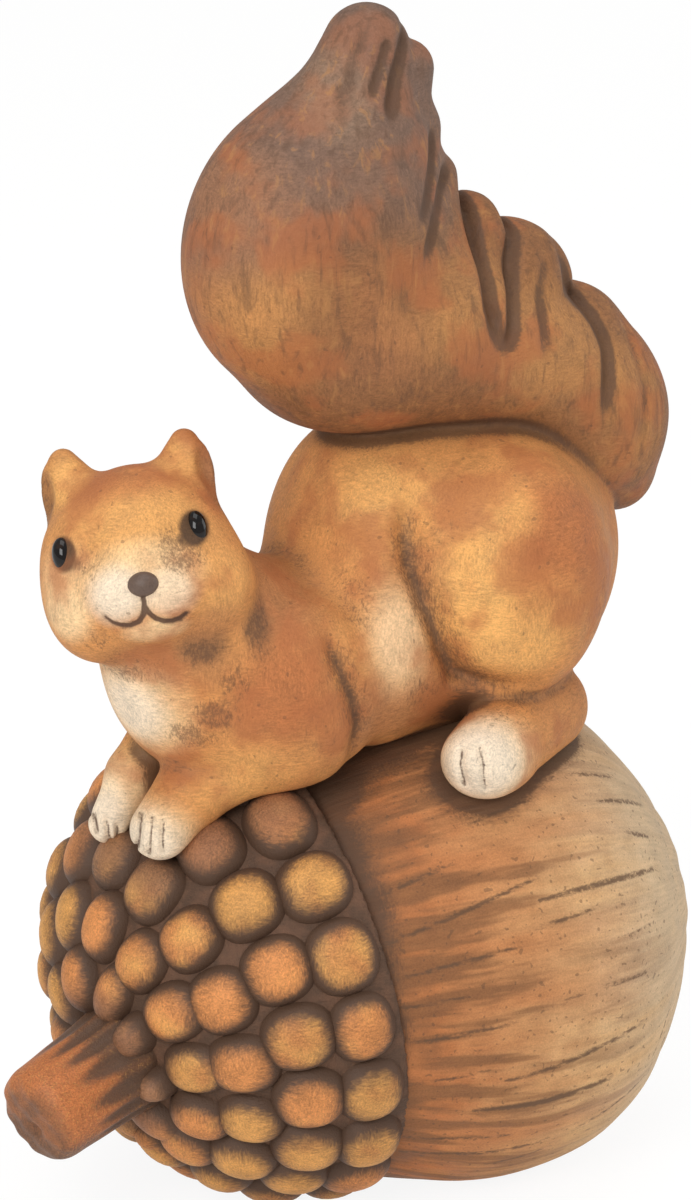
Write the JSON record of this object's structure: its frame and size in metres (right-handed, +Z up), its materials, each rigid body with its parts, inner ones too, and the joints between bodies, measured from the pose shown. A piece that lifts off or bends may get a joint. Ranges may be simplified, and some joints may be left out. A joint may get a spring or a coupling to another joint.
{
  "type": "squirrel figurine",
  "caption": "Hollow clay figurine of a squirrel crouching on a large acorn that lies on its side, with a plume tail over its back; an ornament that rests on a flat base.",
  "frame": {"origin": "in the resting flat under the nut, on the acorn's middle line", "axes": "+X along the acorn towards the nut's closed end, the squirrel's head towards -X; the squirrel's left side, which the picture shows, towards -Y; +Z up"},
  "size_m": [0.1855, 0.1248, 0.2906],
  "materials": {
    "acorn_clay": "matt painted, scratched and dry-brushed",
    "cap_clay": "matt painted, dark wash in the grooves",
    "scale_clay": "matt painted, dry-brushed tops",
    "stem_clay": "matt painted, dark wash",
    "fur_clay": "matt painted, brushed fur strokes",
    "tail_clay": "matt painted, dark tip and brushed locks",
    "paw_clay": "matt painted cream",
    "nose_clay": "satin painted dark brown",
    "eye_glass": "glossy black bead"
  },
  "bodies": {
    "root": {"nut_shell": "acorn_clay", "cap_shell": "cap_clay", "stem": "stem_clay", "torso": "fur_clay", "head": "fur_clay", "ear_left": "fur_clay", "ear_right": "fur_clay", "eye_left": "eye_glass", "eye_right": "eye_glass", "nose": "nose_clay", "tail": "tail_clay", "haunch_left": "fur_clay", "haunch_right": "fur_clay", "hind_foot_left": "paw_clay", "hind_foot_right": "paw_clay", "foreleg_left": "fur_clay", "foreleg_right": "fur_clay", "scale_ring_1": "scale_clay", "scale_ring_2": "scale_clay", "scale_ring_3": "scale_clay", "scale_ring_4": "scale_clay", "scale_ring_5": "scale_clay"}
  },
  "joints": []
}
